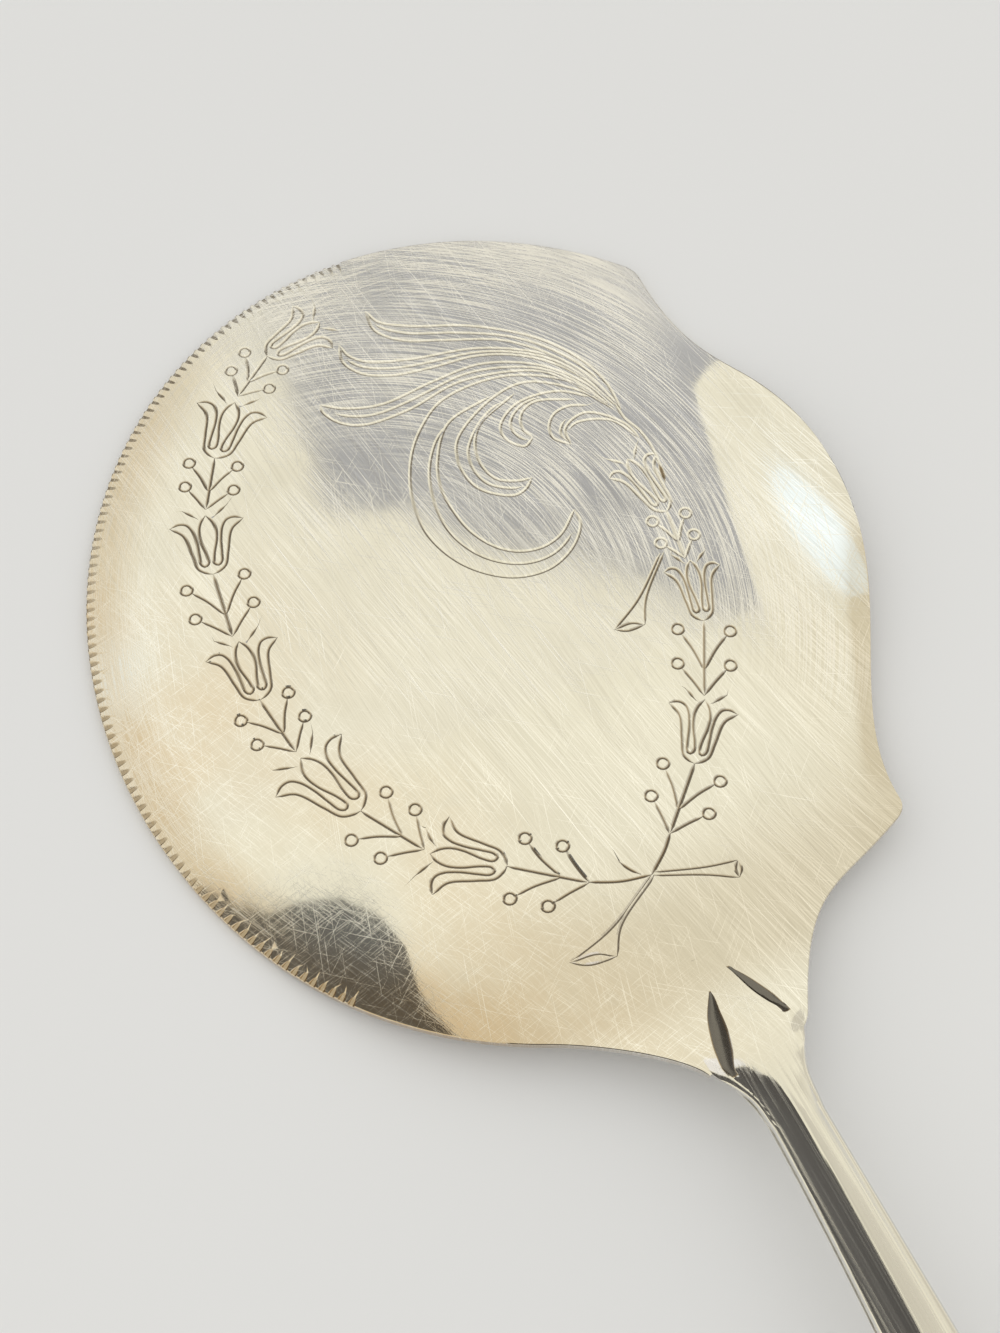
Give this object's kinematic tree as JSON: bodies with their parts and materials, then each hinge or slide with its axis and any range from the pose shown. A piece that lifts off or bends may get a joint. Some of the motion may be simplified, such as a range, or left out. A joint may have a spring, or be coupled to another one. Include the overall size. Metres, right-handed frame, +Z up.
{
  "type": "cake server",
  "caption": "Broad oval serving blade with a finely toothed edge, an upturned lobe and an engraved wreath, soldered into a slim tapered hollow handle.",
  "frame": {"origin": "on the table, under the middle of the blade's oval", "axes": "+X towards the blade's tip, -X along the handle, +Y towards the toothed edge, +Z up"},
  "size_m": [0.2523, 0.094, 0.0127],
  "materials": {
    "engraved_silver": "old silver, finely scratched, slightly tarnished",
    "polished_silver": "hand-polished silver",
    "core_metal": "drawn bar, not polished",
    "solder": "silver solder, buffed flush"
  },
  "bodies": {
    "root": {"blade": "engraved_silver", "upper_shell": "polished_silver", "lower_shell": "polished_silver", "neck_core": "core_metal", "drop_solder": "solder", "heel_solder": "solder", "seam_solder": "solder"}
  },
  "joints": []
}
